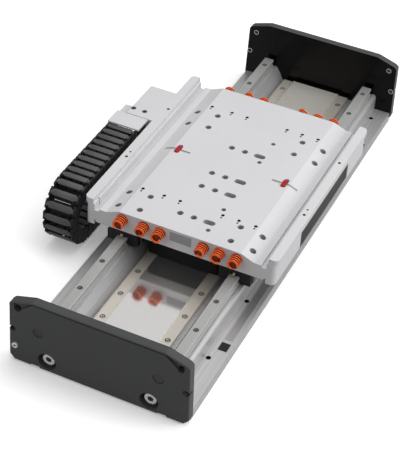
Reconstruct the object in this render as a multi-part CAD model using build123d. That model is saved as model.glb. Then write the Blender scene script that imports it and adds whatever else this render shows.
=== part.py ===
from build123d import *
import os
from math import asin, degrees, radians, sin, cos, tan

# Linear motor stage: a fixed base with two profile rails, a carriage that slides along Y, a rolling cable carrier
# +X is the side with the position scale, +Y points to the far end cap and +Z is up
# the origin lies under the middle of the base

# base extrusion
base_length = 720.0
base_half_width = 123.0
flange_top = 15.0
flange_hole_x = 102.0
flange_hole_r = 3.5
flange_hole_pitch = 120.0
flange_hole_first = 93.0
flange_hole_last = 27.0
pedestal_outer = 97.5
pedestal_inner = 71.5
pedestal_round = 5.0
rail_seat = 39.0
shoulder_rise = 1.5
bay_half_width = 59.0
bay_floor = 17.0
bay_bulge_x = 64.5
bay_bulge_z = 29.0
lip_groove = 1.4
lip_groove_levels = (4.5, 9.5)
chamber_inner = 80.0
chamber_outer = 93.0
chamber_low = 7.0
chamber_high = 31.0

# profile rails
rail_x = 82.5
rail_width = 15.0
rail_height = 15.0
rail_gap_near = 13.0
rail_gap_far = 7.0
rail_side_clearance = 0.2
rail_chamfer = 0.8
rail_waist = 1.8
rail_foot_share = 0.30
rail_waist_from = 0.47
rail_waist_to = 0.60
rail_head_from = 0.77
rail_hole_pitch = 60.0
rail_hole_margin = 20.0
rail_screw_r = 2.0
rail_head_r = 3.5
rail_head_depth = 4.5
rail_head_sink = 0.8
head_clearance = 0.3
screw_clearance = 0.1
screw_spare = 1.0
socket_share = 0.6

# magnet track
track_half_width = 54.0
track_plate_height = 7.3
track_segments = 2
magnet_height = 4.0
magnet_half_width = 37.0
magnet_step = 25.0
magnet_gap = 1.5
magnet_sink = 3.0
cover_height = 0.8
cover_half_width = 38.0
track_screw_x = 46.8
track_screw_pitch = 50.0
track_screw_r = 2.0
track_head_r = 3.6
track_head_height = 3.6
track_head_sink = 0.3
track_screw_grip = 6.0

# bearing blocks
block_half_width = 23.5
block_length = 66.0
block_end_length = 10.0
block_end_inset = 0.8
block_top = 63.0
block_lift = 3.5
block_clearance = 0.4
block_end_chamfer = 3.0
block_screw_half = 16.0
block_screw_r = 2.5
block_bore_depth = 8.0
block_inset_near = 33.0
block_inset_far = 85.0
nipple_r = 2.0
nipple_length = 5.0
nipple_level = 58.0
nipple_neck_share = 0.6

# carriage plate
plate_length = 334.0
plate_middle = 17.5
plate_height = 31.0
plate_flat_half = 88.5
plate_shelf_inner = 108.0
plate_shelf_outer = 118.0
plate_shelf_drop = 8.0
plate_half_width = 125.5
plate_edge_drop = 11.5
plate_foot = 4.0
screw_head_r = 4.25
screw_head_height = 5.0
counterbore_r = 4.5
head_seat = 22.0
row_xs = (-16.5, 3.6)
row_pitch = 33.4
row_steps = (0, 2, 3, 5)
row_first = -112.2
slot_x = 26.2
slot_length = 17.0
slot_depth = 12.0
tapped_x = 31.4
tapped_ys = (-127.1, -77.9, 42.1, 91.3)
tapped_r = 3.3
tapped_depth = 16.0
payload_xs = (-83.5, -51.5, -27.5, 35.5, 59.0, 83.5)
payload_ys = (-89.4, 133.3)
payload_r = 2.5
payload_depth = 12.0
payload_dot_r = 1.5
payload_dot_depth = 4.0
payload_dot_step = 5.5

# buffer springs
spring_level = 83.0
spring_outer_r = 8.0
spring_wire_wide = 3.0
spring_wire_high = 1.8
spring_pitch = 3.3
spring_length = 20.0
spring_socket = 5.0
spring_clearance = 0.3
spring_pin_r = 3.0
spring_pin_short = 3.0

# side wings
wing_thickness = 13.0
wing_lean = 2.0
wing_top = 100.5
wing_flange_height = 8.0
wing_bottom = 58.5
wing_round = 7.0
wing_hole_x = 133.0
wing_hole_r = 2.2
wing_hole_small_r = 1.6
wing_hole_depth = 10.0
wing_hole_ys = (-43.5, 87.5)
wing_small_hole_y = -31.5
wing_slot_inset = 13.0
wing_slot_width = 2.0
wing_slot_height = 12.0
wing_slot_depth = 3.0
window_low_y = -62.0
window_high_y = 114.0
window_top = 85.0
window_depth = 3.0
window_cover = 2.0
window_clearance = 0.3

# motor coil
coil_half_width = 52.0
coil_length = 300.0
coil_gap = 1.2
coil_chamfer = 2.0
coil_screw_depth = 10.0

# position scale and reader
scale_x = 112.0
scale_width = 11.0
scale_height = 0.5
scale_gap = 7.4
target_width = 12.0
target_length = 14.0
target_height = 1.0
target_ys = (-240.4, 254.5)
reader_width = 17.0
reader_length = 90.0
reader_y = 3.0
reader_gap = 1.0
reader_chamfer = 2.0

# locking clips
clip_x = 81.0
clip_y = 14.0
clip_width = 6.4
clip_length = 16.0
clip_rise = 2.0
clip_sink = 3.0
clip_round = 1.2
clip_clearance = 0.6
clip_travel = 3.5
wire_r = 1.2
wire_clearance = 0.05
wire_slot_clearance = 0.6
wire_inner = 18.0
wire_outer = 18.5

# end caps
cap_thickness = 12.5
cap_top = 108.0
cap_kink_x = 90.0
cap_corner_z = 99.0
cap_corner_cut = 4.0
cap_corner_x = 123.0
cap_foot_x = 125.0
cap_foot_z = 9.0
cap_bottom = 1.5
cap_bottom_x = 118.0
cap_edge = 1.2
cap_groove_inset = 1.9
cap_groove_width = 1.7
cap_groove_depth = 3.0
boss_x = 111.2
boss_z = 90.2
boss_hole_r = 2.2
side_boss_x = 119.5
side_boss_z = 54.5
cap_sink_r = 4.6
cap_sink_depth = 8.0
cap_bolt_x = 71.0
cap_bolt_z = 18.0
cap_bolt_r = 6.0
cap_bolt_head_r = 8.7
cap_bolt_head = 5.8
cap_bolt_length = 24.0
cap_bolt_spare = 4.0
cap_bolt_sink_r = 13.0
cap_bolt_sink = 10.0
cap_bolt_socket = 5.0
plug_x = 82.5
plug_z = 61.8
plug_r = 7.5
plug_hole_depth = 2.0
plug_sink = 0.8
plug_clearance = 0.4
cap_foot_notch_x = 88.5
cap_foot_notch_half = 6.5
cap_foot_notch = 3.0
ground_x = -115.8
ground_z = 28.3
ground_r = 4.2
ground_head = 3.0
ground_shank_r = 2.0
ground_socket = 1.8

# cable carrier
chain_x = -173.0
chain_half_width = 23.0
chain_height = 21.0
chain_side = 3.6
chain_radius = 37.0
chain_level = 49.5
chain_bend_y = -121.0
chain_bend_links = 8
chain_upper_links = 10
chain_lower_links = 11
chain_link_gap = 0.6
chain_flank_gap = 0.2
chain_tongue = 1.8
chain_tongue_r = 4.2
chain_pin_r = 2.1
chain_pin_clearance = 0.1
chain_bar_width = 8.0
chain_bar_height = 2.2

# carrier end pieces and brackets
bracket_far_y = 129.0
bracket_near_y = 50.0
bracket_outer_x = -181.5
bracket_height = 6.0
bracket_round = 2.0
hood_outer_x = -196.0
hood_inner_x = -147.0
hood_near_y = 20.0
hood_height = 2.5
hood_clearance = 0.5
end_wall = 3.0
end_far_y = 76.0
bracket_screw_r = 2.0
bracket_head_r = 3.6
bracket_head_height = 2.4
bracket_screw_xs = (-178.0, -160.0)
bracket_screw_y = 65.0
foot_low = 4.0
foot_thickness = 4.0
foot_length = 34.0
foot_inset = 3.0
foot_screw_r = 2.0
foot_head_r = 3.0
foot_head_height = 2.0
foot_edge = 1.0
foot_screw_grip = 12.0
foot_screw_z = 7.0
foot_screw_spread = 20.0

near_end = -base_length / 2
far_end = base_length / 2
rail_near = near_end + rail_gap_near
rail_far = far_end - rail_gap_far
rail_length = rail_far - rail_near
rail_middle = (rail_near + rail_far) / 2
rail_top = rail_seat + rail_height
plate_bottom = block_top
plate_top = plate_bottom + plate_height
plate_near = plate_middle - plate_length / 2
plate_far = plate_middle + plate_length / 2
plate_slope = plate_shelf_drop / (plate_shelf_inner - plate_flat_half)
block_ys = (plate_near + block_inset_near, plate_far - block_inset_far)
track_top = bay_floor + track_plate_height
track_seat = track_top - track_head_height - track_head_sink
magnet_bottom = track_top - magnet_sink
magnet_top = magnet_bottom + magnet_height
cover_top = magnet_top + cover_height
coil_bottom = cover_top + coil_gap
wing_inner = plate_half_width
wing_outer = wing_inner + wing_thickness
row_ys = [row_first + step * row_pitch for step in row_steps]
scale_from = target_ys[0] + target_length / 2 + scale_gap
scale_to = target_ys[1] - target_length / 2 - scale_gap
chain_pitch = 2 * chain_radius * sin(radians(90.0 / chain_bend_links))
chain_top = chain_level + chain_radius + chain_height / 2
hood_low = chain_top + hood_clearance
upper_end_y = chain_bend_y + chain_upper_links * chain_pitch
lower_end_y = chain_bend_y + chain_lower_links * chain_pitch
foot_middle_y = lower_end_y + foot_inset + foot_length / 2
foot_screw_ys = [foot_middle_y + offset for offset in (-foot_screw_spread / 2, foot_screw_spread / 2)]


def block_between(x0, x1, y0, y1, z0, z1):
    return Pos((x0 + x1) / 2, (y0 + y1) / 2, (z0 + z1) / 2) * Box(abs(x1 - x0), abs(y1 - y0), abs(z1 - z0))


def post(x, y, z0, z1, r):
    return Pos(x, y, (z0 + z1) / 2) * Cylinder(r, abs(z1 - z0))


def rod_y(x, z, y0, y1, r):
    return Pos(x, (y0 + y1) / 2, z) * Rot(90, 0, 0) * Cylinder(r, abs(y1 - y0))


def rod_x(y, z, x0, x1, r):
    return Pos((x0 + x1) / 2, y, z) * Rot(0, 90, 0) * Cylinder(r, abs(x1 - x0))


def prism_y(points, y0, y1):
    # an outline given in X and Z, drawn out from y0 to y1
    outline = make_face(Polyline(*[(x, 0, z) for x, z in points], close=True))
    return Pos(0, y0, 0) * extrude(outline, amount=y1 - y0, dir=(0, 1, 0))


def mirrored(points):
    return points + [(-x, z) for x, z in reversed(points)]


def both_sides(value):
    return (-value, value)


def plain_screw(head_r, head_height, r, length):
    # head on top of the seat plane z = 0, shank below it
    outline = [(0, -length), (r, -length), (r, 0), (head_r, 0), (head_r, head_height), (0, head_height)]
    return revolve(make_face(Polyline(*[(x, 0, z) for x, z in outline], close=True)), Axis.Z)


def socket_screw(head_r, head_height, r, length, socket_r):
    depth = head_height * socket_share
    socket = extrude(RegularPolygon(socket_r, 6), amount=depth)
    return plain_screw(head_r, head_height, r, length) - Pos(0, 0, head_height - depth) * socket


def save(shape, name):
    shape.label = name
    export_step(shape, f"parts/{name}.step")


def save_group(shapes, name):
    save(Compound(children=list(shapes)), name)


# where holes repeat

def row_about(middle, count, pitch):
    return [middle + (i - (count - 1) / 2) * pitch for i in range(count)]


flange_hole_span = base_length - flange_hole_first - flange_hole_last
flange_hole_count = int(flange_hole_span / flange_hole_pitch) + 1
flange_hole_ys = [near_end + flange_hole_first + i * flange_hole_pitch for i in range(flange_hole_count)]
rail_hole_count = int((rail_length - 2 * rail_hole_margin) / rail_hole_pitch) + 1
rail_hole_ys = row_about(rail_middle, rail_hole_count, rail_hole_pitch)
track_step = rail_length / track_segments
track_spans = [(rail_near + i * track_step, rail_near + (i + 1) * track_step) for i in range(track_segments)]
track_row_count = int(track_step / track_screw_pitch)
track_screw_rows = [row_about((y0 + y1) / 2, track_row_count, track_screw_pitch) for y0, y1 in track_spans]
track_screw_ys = [y for row in track_screw_rows for y in row]
payload_holes = [(x, y) for x in payload_xs for y in payload_ys]
block_screw_places = [(side * rail_x + dx, y + dy) for side in (-1, 1) for y in block_ys
                      for dx in both_sides(block_screw_half) for dy in both_sides(block_screw_half)]
coil_screw_places = [(x, y) for x in row_xs for y in row_ys]


# base extrusion

def base_profile():
    half = [(base_half_width, 0)]
    shoulder_x = rail_x + rail_width / 2 + rail_side_clearance
    shoulder_top = rail_seat + shoulder_rise
    for level in lip_groove_levels:
        half += [(base_half_width, level - lip_groove / 2), (base_half_width - lip_groove, level),
                 (base_half_width, level + lip_groove / 2)]
    half += [(base_half_width, flange_top), (pedestal_outer, flange_top), (pedestal_outer, shoulder_top),
             (shoulder_x, shoulder_top), (shoulder_x, rail_seat), (pedestal_inner, rail_seat),
             (bay_bulge_x, bay_bulge_z), (bay_half_width, bay_floor)]
    return mirrored(half)


def base():
    body = prism_y(base_profile(), near_end, far_end)
    corners = [e for e in body.edges().filter_by(Axis.Y)
               if abs(abs(e.center().X) - pedestal_outer) < 0.01 and e.center().Z > rail_seat]
    body = fillet(corners, pedestal_round)
    for side in (-1, 1):
        body -= block_between(side * chamber_inner, side * chamber_outer, near_end, far_end,
                              chamber_low, chamber_high)
        for y in (near_end, far_end):
            inward = cap_bolt_length if y < 0 else -cap_bolt_length
            body -= rod_y(side * cap_bolt_x, cap_bolt_z, y, y + inward, cap_bolt_r)
        for y in flange_hole_ys:
            body -= post(side * flange_hole_x, y, 0, flange_top, flange_hole_r)
        for y in rail_hole_ys:
            body -= post(side * rail_x, y, chamber_high, rail_seat, rail_screw_r + screw_clearance)
        for y in track_screw_ys:
            body -= post(side * track_screw_x, y, bay_floor - track_screw_grip, bay_floor,
                         track_screw_r + screw_clearance)
    for y in foot_screw_ys:
        body -= rod_x(y, foot_screw_z + foot_thickness, -base_half_width, foot_screw_grip - base_half_width,
                      foot_screw_r + screw_clearance)
    return body


# rails

def rail_outline(grow=0.0):
    half, top = rail_width / 2, rail_height
    waist = half - rail_waist
    points = [(half, 0), (half, rail_foot_share * top), (waist, rail_waist_from * top),
              (waist, rail_waist_to * top), (half, rail_head_from * top), (half, top - rail_chamfer),
              (half - rail_chamfer, top)]
    face = make_face(Polyline(*[(x, 0, z) for x, z in mirrored(points)], close=True))
    return offset(face, amount=grow, kind=Kind.INTERSECTION) if grow else face


def rail(side):
    bar = extrude(rail_outline(), amount=rail_length, dir=(0, 1, 0))
    body = Pos(side * rail_x, rail_near, rail_seat) * bar
    seat = rail_top - rail_head_depth - rail_head_sink
    for y in rail_hole_ys:
        body -= post(side * rail_x, y, rail_seat, rail_top, rail_screw_r + screw_clearance)
        body -= post(side * rail_x, y, seat, rail_top, rail_head_r + head_clearance)
    return body


def rail_screws(side):
    seat = rail_top - rail_head_depth - rail_head_sink
    screw = plain_screw(rail_head_r, rail_head_depth, rail_screw_r, seat - chamber_high - screw_spare)
    return [Pos(side * rail_x, y, seat) * screw for y in rail_hole_ys]


# magnet track

def track_plate(index):
    y0, y1 = track_spans[index]
    body = block_between(-track_half_width, track_half_width, y0, y1, bay_floor, track_top)
    body -= block_between(-magnet_half_width, magnet_half_width, y0, y1, magnet_bottom, track_top)
    for y in track_screw_rows[index]:
        for side in (-1, 1):
            body -= post(side * track_screw_x, y, bay_floor, track_top, track_screw_r + screw_clearance)
            body -= post(side * track_screw_x, y, track_seat, track_top, track_head_r + head_clearance)
    return body


def magnets(index):
    y0, y1 = track_spans[index]
    count = int((y1 - y0) / magnet_step)
    reach, y_from, y_to = magnet_half_width - magnet_gap, magnet_gap / 2, magnet_step - magnet_gap / 2
    magnet = block_between(-reach, reach, y_from, y_to, magnet_bottom, magnet_top)
    return [Pos(0, y0 + i * magnet_step, 0) * magnet for i in range(count)]


def track_cover(index):
    # thin sheet bent down at both sides over the magnets, seated on the edge strips
    y0, y1 = track_spans[index]
    body = block_between(-cover_half_width, cover_half_width, y0, y1, track_top, cover_top)
    return body - block_between(-magnet_half_width, magnet_half_width, y0, y1, track_top, magnet_top)


def track_screws():
    length = track_seat - bay_floor + track_screw_grip - screw_spare
    screw = plain_screw(track_head_r, track_head_height, track_screw_r, length)
    return [Pos(side * track_screw_x, y, track_seat) * screw for side in (-1, 1) for y in track_screw_ys]


# end caps

def cap_outline():
    corner = [(cap_corner_x, cap_corner_z - cap_corner_cut), (cap_corner_x - cap_corner_cut, cap_corner_z)]
    return mirrored([(cap_bottom_x, cap_bottom), (cap_foot_x, cap_foot_z)] + corner + [(cap_kink_x, cap_top)])


def cap_groove(outer, facing):
    # narrow groove under the top edge of the outer face, wider towards the two corner recesses
    slope = (cap_top - cap_corner_z) / (cap_corner_x - cap_corner_cut - cap_kink_x)
    high = cap_top - cap_groove_inset
    far_x, near_x = boss_x + cap_sink_r, boss_x - cap_sink_r
    half = [(cap_kink_x, high - cap_groove_width), (near_x, boss_z), (far_x, boss_z),
            (far_x, high - slope * (far_x - cap_kink_x)), (cap_kink_x, high)]
    floor = outer - facing * cap_groove_depth
    return prism_y(mirrored(half), min(floor, outer), max(floor, outer))


def end_cap(end, facing):
    # end is the base's end plane, facing is -1 for the near cap and +1 for the far cap
    outer = end + facing * cap_thickness
    body = prism_y(cap_outline(), min(end, outer), max(end, outer))
    face = body.faces().sort_by(Axis.Y)[0 if facing < 0 else -1]
    body = chamfer(face.outer_wire().edges(), cap_edge)
    body -= cap_groove(outer, facing)
    for x, z in [(s * boss_x, boss_z) for s in (-1, 1)] + [(s * side_boss_x, side_boss_z) for s in (-1, 1)]:
        body -= rod_y(x, z, end, outer, boss_hole_r)
        body -= rod_y(x, z, outer - facing * cap_sink_depth, outer, cap_sink_r)
    for x in both_sides(cap_bolt_x):
        body -= rod_y(x, cap_bolt_z, end, outer, cap_bolt_r + head_clearance)
        body -= rod_y(x, cap_bolt_z, outer - facing * cap_bolt_sink, outer, cap_bolt_sink_r)
    for x in both_sides(plug_x):
        body -= rod_y(x, plug_z, outer - facing * plug_hole_depth, outer, plug_r)
    for x in both_sides(cap_foot_notch_x):
        body -= block_between(x - cap_foot_notch_half, x + cap_foot_notch_half, end, outer,
                              0, cap_bottom + cap_foot_notch)
    if facing < 0:
        body -= rod_y(ground_x, ground_z, end, outer, ground_shank_r + screw_clearance)
    return body


def cap_plugs():
    plugs = []
    for end, facing in ((near_end, -1), (far_end, 1)):
        outer = end + facing * cap_thickness
        inner, front = outer - facing * plug_hole_depth, outer - facing * plug_sink
        plugs += [rod_y(x, plug_z, inner, front, plug_r - plug_clearance) for x in both_sides(plug_x)]
    return plugs


def cap_bolts():
    bolts = []
    length = cap_thickness - cap_bolt_sink + cap_bolt_length - cap_bolt_spare
    bolt = socket_screw(cap_bolt_head_r, cap_bolt_head, cap_bolt_r, length, cap_bolt_socket)
    for x in both_sides(cap_bolt_x):
        bolts.append(Pos(x, near_end - cap_thickness + cap_bolt_sink, cap_bolt_z) * Rot(90, 0, 0) * bolt)
        bolts.append(Pos(x, far_end + cap_thickness - cap_bolt_sink, cap_bolt_z) * Rot(-90, 0, 0) * bolt)
    return bolts


def ground_screw():
    screw = socket_screw(ground_r, ground_head, ground_shank_r, cap_thickness, ground_socket)
    return Pos(ground_x, near_end - cap_thickness, ground_z) * Rot(90, 0, 0) * screw


# bearing blocks

def block_middle(side, y):
    reach = block_length / 2 - block_end_length
    low = rail_seat + block_lift
    body = block_between(-block_half_width, block_half_width, -reach, reach, low, block_top)
    slot = Pos(0, -reach, rail_seat) * extrude(rail_outline(block_clearance), amount=2 * reach, dir=(0, 1, 0))
    body = Pos(side * rail_x, y, 0) * (body - slot)
    for dx in both_sides(block_screw_half):
        for dy in both_sides(block_screw_half):
            body -= post(side * rail_x + dx, y + dy, block_top - block_bore_depth, block_top,
                         block_screw_r + screw_clearance)
    return body


def block_ends(side, y):
    ends = []
    low, high = rail_seat + block_lift + block_end_inset, block_top - block_end_inset
    half = block_half_width - block_end_inset
    for facing in (-1, 1):
        y0 = facing * (block_length / 2 - block_end_length)
        y1 = facing * block_length / 2
        slot = extrude(rail_outline(block_clearance), amount=block_end_length, dir=(0, 1, 0))
        slot = Pos(0, min(y0, y1), rail_seat) * slot
        end = block_between(-half, half, y0, y1, low, high)
        corners = [e for e in end.edges().filter_by(Axis.Y) if e.center().Z > high - 0.1]
        end = chamfer(corners, block_end_chamfer) - slot
        ends.append(Pos(side * rail_x, y, 0) * end)
    return ends


def nipples():
    parts = []
    for side in (-1, 1):
        for y, facing in ((block_ys[0], -1), (block_ys[1], 1)):
            face = y + facing * block_length / 2
            shoulder = face + facing * nipple_length * nipple_neck_share
            tip = face + facing * nipple_length
            body = rod_y(side * rail_x, nipple_level, face, shoulder, nipple_r)
            body += rod_y(side * rail_x, nipple_level, face, tip, nipple_r * nipple_neck_share)
            parts.append(body)
    return parts


def block_screws():
    seat = plate_top - head_seat
    length = seat - plate_bottom + block_bore_depth - screw_spare
    screw = plain_screw(screw_head_r, screw_head_height, block_screw_r, length)
    return [Pos(x, y, seat) * screw for x, y in block_screw_places]


# carriage plate

def plate_outline():
    # flat top, steep flanks, a level shelf beside each wing and a step down to the wing's seat
    edge, shelf = plate_top - plate_edge_drop, plate_top - plate_shelf_drop
    foot = [(plate_half_width - plate_foot, plate_bottom), (plate_half_width, plate_bottom + plate_foot)]
    return mirrored(foot + [(plate_half_width, edge), (plate_shelf_outer, edge), (plate_shelf_outer, shelf),
                            (plate_shelf_inner, shelf), (plate_flat_half, plate_top)])


def stadium(length, width, height):
    return extrude(SlotOverall(length, width), amount=height)


def carriage_plate():
    body = prism_y(plate_outline(), plate_near, plate_far)
    seat = plate_top - head_seat
    for x, y in block_screw_places + coil_screw_places:
        body -= post(x, y, plate_bottom, plate_top, block_screw_r + screw_clearance)
        body -= post(x, y, seat, plate_top, counterbore_r)
    for y in row_ys:
        body -= Pos(slot_x, y, plate_top - slot_depth) * stadium(slot_length, 2 * counterbore_r, slot_depth)
    for y in tapped_ys:
        body -= post(tapped_x, y, plate_top - tapped_depth, plate_top, tapped_r)
    for x, y in payload_holes:
        body -= post(x, y, plate_top - payload_depth, plate_top, payload_r)
        body -= post(x, y - payload_dot_step, plate_top - payload_dot_depth, plate_top, payload_dot_r)
    socket_r = spring_outer_r + spring_clearance
    for x in payload_xs:
        body -= rod_y(x, spring_level, plate_near, plate_near + spring_socket, socket_r)
        body -= rod_y(x, spring_level, plate_far - spring_socket, plate_far, socket_r)
    for side in (-1, 1):
        length = clip_length + 2 * clip_clearance + clip_travel
        pocket = Rot(0, 0, 90) * stadium(length, clip_width + 2 * clip_clearance, clip_sink)
        body -= Pos(side * clip_x, clip_y + clip_travel / 2, plate_top - clip_sink) * pocket
        body -= wire_slot(side)
    return body


# springs

def spring():
    # a helix of flat wire along +Z with both ends ground level
    turns_height = spring_length - spring_wire_high
    middle = spring_outer_r - spring_wire_wide / 2
    path = Helix(pitch=spring_pitch, height=turns_height, radius=middle)
    start = Plane(origin=path @ 0, x_dir=(1, 0, 0), z_dir=path % 0)
    wire = sweep(start * Rectangle(spring_wire_wide, spring_wire_high), path=path)
    return Pos(0, 0, spring_wire_high / 2) * wire


def springs(facing):
    end = plate_near if facing < 0 else plate_far
    root = end - facing * spring_socket
    coil = Rot(90, 0, 0) * spring() if facing < 0 else Rot(-90, 0, 0) * spring()
    return [Pos(x, root, spring_level) * coil for x in payload_xs]


def spring_pins():
    pins = []
    for end, facing in ((plate_near, -1), (plate_far, 1)):
        root = end - facing * spring_socket
        tip = end + facing * (spring_length - spring_socket - spring_pin_short)
        pins += [rod_y(x, spring_level, root, tip, spring_pin_r) for x in payload_xs]
    return pins


# wings

def rounded_slab(x0, x1, z0, z1):
    # as long as the plate, with its two upright edges on the outer side rounded
    slab = block_between(x0, x1, plate_near, plate_far, z0, z1)
    return fillet([e for e in slab.edges().filter_by(Axis.Z) if e.center().X > x1 - 0.1], wing_round)


def wing(side):
    flange_low = wing_top - wing_flange_height
    body = rounded_slab(wing_inner, wing_outer, wing_bottom, flange_low)
    body += rounded_slab(wing_inner + wing_lean, wing_outer + wing_lean, flange_low, wing_top)
    for y in wing_hole_ys:
        body -= post(wing_hole_x, y, wing_top - wing_hole_depth, wing_top, wing_hole_r)
    body -= post(wing_hole_x, wing_small_hole_y, wing_top - wing_hole_depth, wing_top, wing_hole_small_r)
    if side > 0:
        return body - block_between(wing_outer - window_depth, wing_outer, window_low_y, window_high_y,
                                    wing_bottom, window_top)
    slot_y = plate_near + wing_slot_inset
    slot_low = flange_low - wing_slot_height
    body -= block_between(wing_inner, wing_inner + wing_slot_depth, slot_y, slot_y + wing_slot_width,
                          slot_low, flange_low)
    return mirror(body, about=Plane.YZ)


def window():
    inner = wing_outer - window_depth
    y0, y1 = window_low_y + window_clearance, window_high_y - window_clearance
    return block_between(inner, inner + window_cover, y0, y1, wing_bottom, window_top - window_clearance)


# motor coil

def coil():
    y0, y1 = plate_middle - coil_length / 2, plate_middle + coil_length / 2
    body = block_between(-coil_half_width, coil_half_width, y0, y1, coil_bottom, plate_bottom)
    body = chamfer(body.edges().filter_by(Axis.Z), coil_chamfer)
    for x, y in coil_screw_places:
        body -= post(x, y, plate_bottom - coil_screw_depth, plate_bottom, block_screw_r + screw_clearance)
    return body


def coil_screws():
    seat = plate_top - head_seat
    length = seat - plate_bottom + coil_screw_depth - screw_spare
    screw = plain_screw(screw_head_r, screw_head_height, block_screw_r, length)
    return [Pos(x, y, seat) * screw for x, y in coil_screw_places]


# position scale, end targets and reader

def scale():
    half, top = scale_width / 2, flange_top + scale_height
    return block_between(scale_x - half, scale_x + half, scale_from, scale_to, flange_top, top)


def targets():
    half = target_width / 2
    return [block_between(scale_x - half, scale_x + half, y - target_length / 2, y + target_length / 2,
                          flange_top, flange_top + target_height) for y in target_ys]


def reader():
    low = flange_top + scale_height + target_height + reader_gap
    half, reach = reader_width / 2, reader_length / 2
    body = block_between(scale_x - half, scale_x + half, reader_y - reach, reader_y + reach, low, plate_bottom)
    return chamfer(body.edges().filter_by(Axis.Z), reader_chamfer)


# locking clips

def clip(side):
    body = Rot(0, 0, 90) * stadium(clip_length, clip_width, clip_sink + clip_rise)
    body = fillet(body.faces().sort_by(Axis.Z)[-1].edges(), clip_round)
    body = Pos(side * clip_x, clip_y, plate_top - clip_sink) * body
    return body - clip_wire(side, wire_r + wire_clearance)


def clip_wire(side, r=wire_r):
    # level through the clip, then down along the flank of the plate
    outer = clip_x + wire_outer
    level = plate_top - clip_sink / 2
    low = level - plate_slope * (outer - plate_flat_half)
    bends = ((clip_x - wire_inner, level), (plate_flat_half, level), (outer, low))
    path = Polyline(*[(side * x, clip_y, z) for x, z in bends])
    section = Plane(origin=path @ 0, x_dir=(0, 1, 0), z_dir=(side, 0, 0)) * Circle(r)
    return sweep(section, path=path, transition=Transition.RIGHT)


def wire_slot(side):
    width = wire_r + wire_slot_clearance
    inner, outer = clip_x - wire_inner - wire_slot_clearance, clip_x + wire_outer + wire_slot_clearance
    floor = plate_top - clip_sink
    outline = [(inner, plate_top), (inner, floor), (plate_flat_half, floor),
               (outer, floor - plate_slope * (outer - plate_flat_half)), (outer, plate_top)]
    return prism_y([(side * x, z) for x, z in outline], clip_y - width, clip_y + width)


# cable carrier

def chain_side_plate(side):
    # link side plate about the middle between its two pivots, length along Y, outer side of the bend up
    # the lower flank is cut back so that two links can turn about their pivot as far as the bend needs
    half, top = chain_pitch / 2 - chain_link_gap / 2, chain_height / 2
    inset = top * tan(radians(90.0 / chain_bend_links)) + chain_flank_gap
    x0 = side * (chain_half_width - chain_side)
    corners = ((-half, top), (half, top), (half, 0), (half - inset, -top), (inset - half, -top), (-half, 0))
    outline = Polyline(*[(x0, y, z) for y, z in corners], close=True)
    body = extrude(make_face(outline), amount=chain_side, dir=(side, 0, 0))
    pivot = chain_pitch / 2
    body -= rod_x(-pivot, 0, x0, x0 + side * chain_side, chain_pin_r + chain_pin_clearance)
    tongue_x = x0 - side * chain_tongue / 2
    tongue = Pos(tongue_x, pivot / 2, 0) * Box(chain_tongue, pivot, 2 * chain_tongue_r)
    tongue += Pos(tongue_x, pivot, 0) * Rot(0, 90, 0) * Cylinder(chain_tongue_r, chain_tongue)
    return body + tongue + rod_x(pivot, 0, x0, x0 + side * chain_side, chain_pin_r)


def chain_bar(level):
    reach, half = chain_half_width - chain_side, chain_bar_width / 2
    return block_between(-reach, reach, -half, half, level, level + chain_bar_height)


def chain_place(index):
    # turn and middle of a link, counted from the top of the bend
    # 0 and up go round the bend, below 0 is the upper run
    if index < 0:
        return Pos(chain_x, chain_bend_y - (index + 0.5) * chain_pitch, chain_level + chain_radius)
    if index >= chain_bend_links:
        along = (index - chain_bend_links + 0.5) * chain_pitch
        return Pos(chain_x, chain_bend_y + along, chain_level - chain_radius) * Rot(180, 0, 0)
    angle = (index + 0.5) * 180.0 / chain_bend_links
    reach = chain_radius * cos(radians(90.0 / chain_bend_links))
    return Pos(chain_x, chain_bend_y, chain_level) * Rot(angle, 0, 0) * Pos(0, 0, reach)


def chain_sides(first, last):
    return [chain_place(i) * chain_side_plate(side) for i in range(first, last) for side in (-1, 1)]


def chain_bars(first, last):
    levels = (chain_height / 2 - chain_bar_height, -chain_height / 2)
    return [chain_place(i) * chain_bar(level) for i in range(first, last) for level in levels]


# carrier end pieces

def end_tray(y0, y1, floor, height, roof):
    # open channel that takes over from the last link: two walls and one web, the web on top if roof is set
    low, high = floor, floor + height
    x0, x1 = chain_x - chain_half_width, chain_x + chain_half_width
    body = block_between(x0, x1, y0, y1, low, high)
    inner_low = low if roof else low + end_wall
    inner_high = high - end_wall if roof else high
    return body - block_between(x0 + end_wall, x1 - end_wall, y0, y1, inner_low, inner_high)


def moving_end():
    # the walls stand up to the hood in front of the bracket and carry the bracket behind it
    low = chain_top - chain_height
    seat = wing_top - bracket_height
    start = upper_end_y + chain_tongue_r + chain_link_gap
    body = end_tray(start, end_far_y, low, seat - low, True)
    rise = hood_low - seat
    for x in (chain_x - chain_half_width, chain_x + chain_half_width - end_wall):
        body += block_between(x, x + end_wall, start, bracket_near_y - hood_clearance, seat, seat + rise)
    for x in bracket_screw_xs:
        body -= post(x, bracket_screw_y, seat - end_wall, seat, bracket_screw_r + screw_clearance)
    return body


def moving_bracket():
    body = block_between(bracket_outer_x, -wing_outer - wing_lean, bracket_near_y, bracket_far_y,
                         wing_top - bracket_height, wing_top)
    outer_edges = [e for e in body.edges().filter_by(Axis.Z) if e.center().X < bracket_outer_x + 0.1]
    body = fillet(outer_edges, bracket_round)
    seat = wing_top - bracket_head_height
    for x in bracket_screw_xs:
        body -= post(x, bracket_screw_y, wing_top - bracket_height, wing_top, bracket_screw_r + screw_clearance)
        body -= post(x, bracket_screw_y, seat, wing_top, bracket_head_r + head_clearance)
    return body


def bracket_screws():
    seat = wing_top - bracket_head_height
    screw = plain_screw(bracket_head_r, bracket_head_height, bracket_screw_r, bracket_height)
    return [Pos(x, bracket_screw_y, seat) * screw for x in bracket_screw_xs]


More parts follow.
